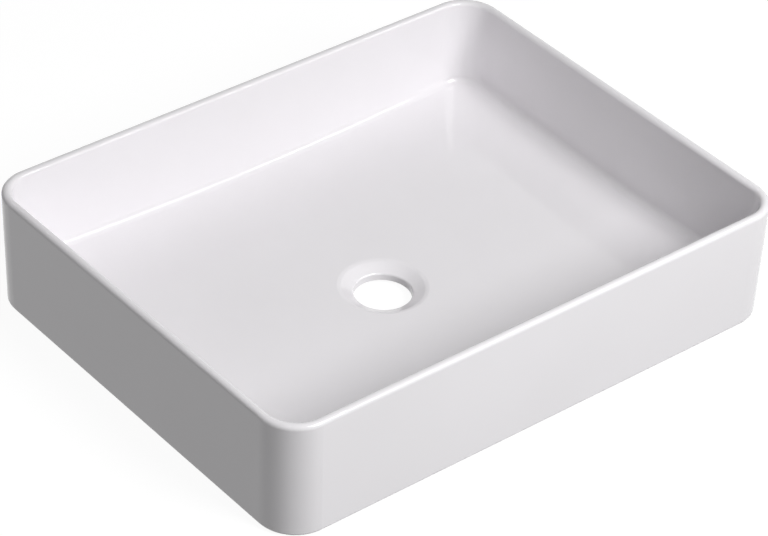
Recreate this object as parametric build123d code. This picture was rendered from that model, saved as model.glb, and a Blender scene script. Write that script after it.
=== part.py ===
from build123d import *
import os

# Countertop basin, in millimetres. X runs along the long side, +Y points to the wall behind and +Z up.
# The origin is on the worktop, under the centre of the drain.

# Rim and outer walls
rim_length = 480.0
rim_width = 375.0
body_height = 101.0
corner_radius = 32.0
end_wall_lean = 2.4
side_wall_lean = 0.6
rim_thickness = 7.5
rim_outer_round = 3.4
rim_inner_round = 3.4

# Inside of the bowl
inner_wall_lean = 2.0
inner_corner_radius = 25.0
floor_height = 13.6
floor_dish_radius = 3300.0
floor_wall_fillet = 6.0

# Drain at the lowest point of the floor
drain_bore_radius = 23.0
drain_wall_length = 5.7
drain_lip_round = 1.5
recess_radius = 34.0
recess_depth = 5.6
recess_edge_round = 8.0

# Hollow underside: the foot that the walls end in, and the flat round face that a waste's nut pulls against
floor_thickness = 9.0
foot_width = 16.0
foot_inner_lean = 10.0
foot_outer_round = 2.5
foot_inner_round = 1.5
hollow_corner_radius = 18.0
hollow_ceiling_fillet = 8.0
nut_face_radius = 44.0
nut_face_fillet = 2.0

# Bumper pads under the foot
pad_radius = 5.0
pad_thickness = 1.5
pad_edge_round = 0.5
pad_from_end = 60.0

# Heights that follow from the sizes above
foot_z = pad_thickness
rim_z = foot_z + body_height
floor_z = foot_z + floor_height
recess_z = floor_z - recess_depth
nut_face_z = recess_z - drain_wall_length
dish_centre_z = floor_z + floor_dish_radius

# How far a cutting solid runs past what it cuts, and how close an edge lies to the height it is picked by
overrun = 20.0
near = 0.01


def walled_block(low_z, high_z, foot_insets, rim_insets, radius):
    """Upright block with round corners. Its end and side walls run straight through their insets from the rim's
    outline, given at the foot and at the rim."""
    sections = []
    for z in (low_z, high_z):
        rise = (z - foot_z) / body_height
        end_inset, side_inset = (low + (high - low) * rise for low, high in zip(foot_insets, rim_insets))
        outline = RectangleRounded(rim_length - 2 * end_inset, rim_width - 2 * side_inset, radius)
        sections.append(Plane.XY.offset(z) * outline)
    return loft(sections, ruled=True)


def dish_ball(radius):
    """Ball about the floor's centre of curvature, turned so that its seam lies on top, far from the basin."""
    return Pos(0, 0, dish_centre_z) * Rot(0, -90, 0) * Sphere(radius)


def dish_face(solid):
    """The dished floor or ceiling of a solid."""
    return solid.faces().filter_by(GeomType.SPHERE).sort_by(SortBy.AREA)[-1]


def drain_space():
    """Round recess that narrows from above the floor down to the drain's bore."""
    slope = (recess_radius - drain_bore_radius) / recess_depth
    profile = Polyline(
        (0, nut_face_z - overrun),
        (drain_bore_radius, nut_face_z - overrun),
        (drain_bore_radius, recess_z),
        (recess_radius + overrun * slope, floor_z + overrun),
        (0, floor_z + overrun),
        close=True,
    )
    return revolve(Plane.XZ * make_face(profile), axis=Axis.Z)


def bowl_space():
    """Open inside of the bowl, with the round edge of its floor, the drain's recess and its bore."""
    wall_inset = rim_thickness + inner_wall_lean
    bowl = dish_ball(floor_dish_radius) & walled_block(
        foot_z,
        rim_z + overrun,
        (wall_inset, wall_inset),
        (rim_thickness, rim_thickness),
        inner_corner_radius,
    )
    bowl = fillet(dish_face(bowl).outer_wire().edges(), floor_wall_fillet)
    bowl += drain_space()
    bowl = fillet(dish_face(bowl).inner_wires()[0].edges(), recess_edge_round)
    lip = bowl.edges().filter_by(GeomType.CIRCLE).filter_by_position(Axis.Z, recess_z - near, recess_z + near)
    return fillet(lip, drain_lip_round)


def underside_space():
    """Open space under the floor, between the feet and round the nut's face."""
    foot_insets = (end_wall_lean + foot_width, side_wall_lean + foot_width)
    hollow = walled_block(
        foot_z - overrun,
        floor_z + overrun,
        foot_insets,
        [inset + foot_inner_lean for inset in foot_insets],
        hollow_corner_radius,
    )
    hollow -= dish_ball(floor_dish_radius + floor_thickness)
    hollow = fillet(dish_face(hollow).outer_wire().edges(), hollow_ceiling_fillet)
    boss = Cylinder(nut_face_radius, floor_z - nut_face_z, align=(Align.CENTER, Align.CENTER, Align.MIN))
    hollow -= Pos(0, 0, nut_face_z) * boss
    return fillet(dish_face(hollow).inner_wires()[0].edges(), nut_face_fillet)


def level_faces(solid):
    """The solid's level faces from the lowest up: the foot comes first and the rim last."""
    return solid.faces().filter_by(Plane.XY).sort_by(Axis.Z)


def basin_body():
    """The one-piece ceramic casting: rim, walls, floor, drain and foot."""
    body = walled_block(foot_z, rim_z, (end_wall_lean, side_wall_lean), (0, 0), corner_radius)
    body -= bowl_space()
    body -= underside_space()
    body = fillet(level_faces(body)[-1].outer_wire().edges(), rim_outer_round)
    body = fillet(level_faces(body)[-1].inner_wires()[0].edges(), rim_inner_round)
    body = fillet(level_faces(body)[0].outer_wire().edges(), foot_outer_round)
    return fillet(level_faces(body)[0].inner_wires()[0].edges(), foot_inner_round)


def foot_pad(x, y):
    """One silicone bumper pad, stuck flat under the foot."""
    pad = Cylinder(pad_radius, pad_thickness, align=(Align.CENTER, Align.CENTER, Align.MIN))
    pad = fillet(pad.edges().group_by(Axis.Z)[0], pad_edge_round)
    return Pos(x, y, 0) * pad


def foot_pads():
    """The four pads by name, on the flat of the foot along the two long walls."""
    foot_flat = foot_width - foot_outer_round - foot_inner_round
    pad_x = rim_length / 2 - pad_from_end
    pad_y = rim_width / 2 - side_wall_lean - foot_outer_round - foot_flat / 2
    pads = {}
    for end, x in (("left", -pad_x), ("right", pad_x)):
        for side, y in (("front", -pad_y), ("back", pad_y)):
            pads[f"foot_pad_{side}_{end}"] = foot_pad(x, y)
    return pads


os.makedirs("parts", exist_ok=True)
nodes = {"basin_body": basin_body(), **foot_pads()}
for name, shape in nodes.items():
    export_step(shape, f"parts/{name}.step")
    print(name, shape.is_valid, round(shape.volume))
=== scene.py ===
import math

import bpy
from mathutils import Matrix, Vector


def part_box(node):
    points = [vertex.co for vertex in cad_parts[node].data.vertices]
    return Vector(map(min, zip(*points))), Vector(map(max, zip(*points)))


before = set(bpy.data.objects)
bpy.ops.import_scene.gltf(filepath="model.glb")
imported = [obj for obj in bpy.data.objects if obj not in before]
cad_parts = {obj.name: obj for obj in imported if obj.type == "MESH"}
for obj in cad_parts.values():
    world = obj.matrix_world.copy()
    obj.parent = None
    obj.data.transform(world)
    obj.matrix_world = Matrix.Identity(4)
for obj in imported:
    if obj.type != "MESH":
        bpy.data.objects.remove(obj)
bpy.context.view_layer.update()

# Photograph: its width in pixels, and the camera that the basin's outline in it fits
PHOTO_WIDTH = 768
FOCAL_PIXELS = 3386.6
SENSOR_WIDTH = 36.0
VIEW_AZIMUTH = math.radians(-40.546)
VIEW_ELEVATION = math.radians(36.453)
VIEW_ROLL = math.radians(2.888)
VIEW_DISTANCE = 2.5748
VIEW_TARGET = Vector((-0.01734, -0.02028, 0.0521))

# Studio: the even light of the room, and the floor
ROOM_LIGHT = 0.18
FLOOR_SIZE = 9.0
FLOOR_GLOW = 0.93
FLOOR_SHARE_LIT = 0.12
FLOOR_BOUNCE = 0.25

# Glaze and bare clay
GLAZE_WHITE = (0.87, 0.852, 0.875)
GLAZE_THIN = (0.85, 0.832, 0.853)
CLAY = (0.74, 0.70, 0.64)
FOOT_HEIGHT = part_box("basin_body")[0].z
GLAZE_LINE = FOOT_HEIGHT + 0.0009
GLAZE_LINE_WANDER = 0.0004
GLAZE_LINE_BLUR = 0.00015
GLAZE_IOR = 1.52
CLAY_ROUGHNESS = 0.75
CLAY_SPECKLE = 0.88
ORANGE_PEEL_DEPTH = 0.0004
GRIT_DEPTH = 0.0003

# Silicone pads
SILICONE = (0.80, 0.81, 0.81)
SILICONE_MILKY = (0.72, 0.735, 0.74)
SILICONE_IOR = 1.41
SILICONE_CLEARNESS = 0.35
SILICONE_SKIN_DEPTH = 0.0001


class Nodes:
    """A short way to add and link the nodes of one material or world."""

    def __init__(self, owner):
        owner.use_nodes = True
        self.tree = owner.node_tree
        self.tree.nodes.clear()

    def add(self, kind, values=None, **settings):
        node = self.tree.nodes.new(kind)
        for name, value in settings.items():
            setattr(node, name, value)
        for socket, value in (values or {}).items():
            if isinstance(value, bpy.types.NodeSocket):
                self.tree.links.new(value, node.inputs[socket])
            else:
                node.inputs[socket].default_value = value
        return node

    def noise(self, where, scale, detail=2.0, roughness=0.5):
        values = {"Vector": where, "Scale": scale, "Detail": detail, "Roughness": roughness}
        return self.add("ShaderNodeTexNoise", values).outputs["Fac"]

    def math(self, operation, a, b=0.5):
        return self.add("ShaderNodeMath", {0: a, 1: b}, operation=operation).outputs[0]

    def ramp(self, value, low, high, to_low=0.0, to_high=1.0):
        values = {"Value": value, "From Min": low, "From Max": high, "To Min": to_low, "To Max": to_high}
        return self.add("ShaderNodeMapRange", values).outputs["Result"]

    def mix(self, share, a, b):
        return self.add("ShaderNodeMix", {0: share, 6: a, 7: b}, data_type="RGBA").outputs[2]


def colour(rgb):
    return (*rgb, 1.0)


def glazed_ceramic():
    """White sanitary glaze with a faint orange peel, and bare fired clay where the foot stood in
    the kiln."""
    material = bpy.data.materials.new("glazed_ceramic")
    nodes = Nodes(material)
    place = nodes.add("ShaderNodeTexCoord").outputs["Object"]
    height = nodes.add("ShaderNodeSeparateXYZ", {0: place}).outputs["Z"]

    cloud = nodes.noise(place, 9.0, detail=3.0)
    white = nodes.mix(nodes.ramp(cloud, 0.35, 0.75), colour(GLAZE_WHITE), colour(GLAZE_THIN))

    wander = nodes.ramp(nodes.noise(place, 60.0), 0.0, 1.0, -GLAZE_LINE_WANDER, GLAZE_LINE_WANDER)
    edge = nodes.math("ADD", height, wander)
    bare = nodes.ramp(edge, GLAZE_LINE + GLAZE_LINE_BLUR, GLAZE_LINE - GLAZE_LINE_BLUR)
    speckle = nodes.ramp(nodes.noise(place, 900.0, detail=4.0, roughness=0.7), 0.40, 0.70)
    clay = nodes.mix(speckle, colour(CLAY), colour([CLAY_SPECKLE * c for c in CLAY]))
    base = nodes.mix(bare, white, clay)

    gloss = nodes.ramp(nodes.noise(place, 35.0, detail=3.0), 0.3, 0.7, 0.05, 0.075)
    roughness = nodes.add("ShaderNodeMix", {0: bare, 2: gloss, 3: CLAY_ROUGHNESS}).outputs[0]

    peel = nodes.noise(place, 260.0, detail=1.5)
    glaze_bump = nodes.add(
        "ShaderNodeBump", {"Strength": 0.05, "Distance": ORANGE_PEEL_DEPTH, "Height": peel}
    )
    grit = nodes.math("MULTIPLY", nodes.noise(place, 1600.0, detail=4.0, roughness=0.7), bare)
    bump = nodes.add(
        "ShaderNodeBump",
        {"Strength": 0.6, "Distance": GRIT_DEPTH, "Height": grit, "Normal": glaze_bump.outputs[0]},
    )
    shader = nodes.add(
        "ShaderNodeBsdfPrincipled",
        {"Base Color": base, "Roughness": roughness, "IOR": GLAZE_IOR, "Normal": bump.outputs[0]},
    )
    nodes.add("ShaderNodeOutputMaterial", {"Surface": shader.outputs[0]})
    return material


def clear_silicone():
    """Clear, slightly milky silicone with a satin skin."""
    material = bpy.data.materials.new("clear_silicone")
    nodes = Nodes(material)
    place = nodes.add("ShaderNodeTexCoord").outputs["Object"]
    milk = nodes.ramp(nodes.noise(place, 400.0, detail=3.0), 0.35, 0.7)
    base = nodes.mix(milk, colour(SILICONE), colour(SILICONE_MILKY))
    skin = nodes.noise(place, 2500.0, detail=2.0)
    bump = nodes.add("ShaderNodeBump", {"Strength": 0.3, "Distance": SILICONE_SKIN_DEPTH, "Height": skin})
    roughness = nodes.ramp(nodes.noise(place, 900.0), 0.3, 0.7, 0.26, 0.36)
    shader = nodes.add(
        "ShaderNodeBsdfPrincipled",
        {
            "Base Color": base,
            "Roughness": roughness,
            "IOR": SILICONE_IOR,
            "Transmission Weight": SILICONE_CLEARNESS,
            "Normal": bump.outputs[0],
        },
    )
    nodes.add("ShaderNodeOutputMaterial", {"Surface": shader.outputs[0]})
    return material


def finish_cad_nodes():
    ceramic = glazed_ceramic()
    silicone = clear_silicone()
    for name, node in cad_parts.items():
        material = ceramic if name == "basin_body" else silicone
        for index in range(len(node.material_slots)):
            node.material_slots[index].material = material


def seen_directly(nodes):
    """1 for a ray from the camera, from a reflection or through a clear piece, and 0 for light that
    bounces about the room."""
    path = nodes.add("ShaderNodeLightPath").outputs
    sharp = nodes.math("MAXIMUM", path["Is Glossy Ray"], path["Is Transmission Ray"])
    return nodes.math("MAXIMUM", path["Is Camera Ray"], sharp)


def make_floor():
    """Pale floor. It glows nearly white to the camera and to reflections, and the part of it that the
    lamps light keeps the shadow."""
    bpy.ops.mesh.primitive_plane_add(size=FLOOR_SIZE)
    floor = bpy.context.object
    floor.name = "floor"
    material = bpy.data.materials.new("pale_floor")
    nodes = Nodes(material)
    bounce = nodes.add("ShaderNodeEmission", {"Color": colour([1.0] * 3), "Strength": FLOOR_BOUNCE})
    lit = nodes.add("ShaderNodeBsdfDiffuse", {"Color": colour([FLOOR_SHARE_LIT] * 3)})
    glow = nodes.add("ShaderNodeEmission", {"Color": colour([1.0] * 3), "Strength": FLOOR_GLOW})
    pale = nodes.add("ShaderNodeAddShader", {0: lit.outputs[0], 1: glow.outputs[0]})
    shader = nodes.add(
        "ShaderNodeMixShader", {0: seen_directly(nodes), 1: bounce.outputs[0], 2: pale.outputs[0]}
    )
    nodes.add("ShaderNodeOutputMaterial", {"Surface": shader.outputs[0]})
    floor.data.materials.append(material)


def make_room():
    """Even light from all round. The camera and reflections see the room as white."""
    world = bpy.data.worlds.new("room")
    bpy.context.scene.world = world
    nodes = Nodes(world)
    strength = nodes.ramp(seen_directly(nodes), 0.0, 1.0, ROOM_LIGHT, 1.0)
    shader = nodes.add("ShaderNodeBackground", {"Color": colour([1.0] * 3), "Strength": strength})
    nodes.add("ShaderNodeOutputWorld", {"Surface": shader.outputs[0]})


def make_softbox(name, azimuth, elevation, distance, width, height, light):
    """Softbox aimed at the origin. Its azimuth turns to the right from the front, and its light is what
    a white card that faces it there shows."""
    turn = math.radians(azimuth)
    rise = math.radians(elevation)
    away = Vector((math.sin(turn) * math.cos(rise), -math.cos(turn) * math.cos(rise), math.sin(rise)))
    data = bpy.data.lights.new(name, "AREA")
    data.shape = "RECTANGLE"
    data.size = width
    data.size_y = height
    data.energy = light * (math.pi * distance) ** 2
    lamp = bpy.data.objects.new(name, data)
    lamp.location = away * distance
    lamp.rotation_euler = away.to_track_quat("Z", "Y").to_euler()
    bpy.context.collection.objects.link(lamp)
    return lamp


def make_highlight_strip():
    """Long thin light for the glaze to mirror along its rim and seams. It adds nothing to the even
    light."""
    strip = make_softbox(
        "strip", azimuth=41, elevation=37.5, distance=2.2, width=1.2, height=0.2, light=0.24
    )
    strip.visible_diffuse = False


def make_camera():
    data = bpy.data.cameras.new("camera")
    data.sensor_width = SENSOR_WIDTH
    data.lens = FOCAL_PIXELS * SENSOR_WIDTH / PHOTO_WIDTH
    data.clip_start = 0.1
    data.clip_end = 30.0
    back = Vector((
        math.sin(VIEW_AZIMUTH) * math.cos(VIEW_ELEVATION),
        -math.cos(VIEW_AZIMUTH) * math.cos(VIEW_ELEVATION),
        math.sin(VIEW_ELEVATION),
    ))
    level_right = Vector((0, 0, 1)).cross(back).normalized()
    level_up = back.cross(level_right)
    right = math.cos(VIEW_ROLL) * level_right + math.sin(VIEW_ROLL) * level_up
    up = back.cross(right)
    turn = Matrix((right, up, back)).transposed().to_4x4()
    camera = bpy.data.objects.new("camera", data)
    camera.matrix_world = Matrix.Translation(VIEW_TARGET + back * VIEW_DISTANCE) @ turn
    bpy.context.collection.objects.link(camera)
    bpy.context.scene.camera = camera


finish_cad_nodes()
make_floor()
make_room()
make_softbox("key", azimuth=12, elevation=44, distance=2.0, width=0.75, height=0.95, light=0.87)
make_softbox("fill", azimuth=-120, elevation=30, distance=2.0, width=1.4, height=1.2, light=0.03)
make_highlight_strip()
make_camera()
bpy.context.scene.view_settings.view_transform = "Standard"
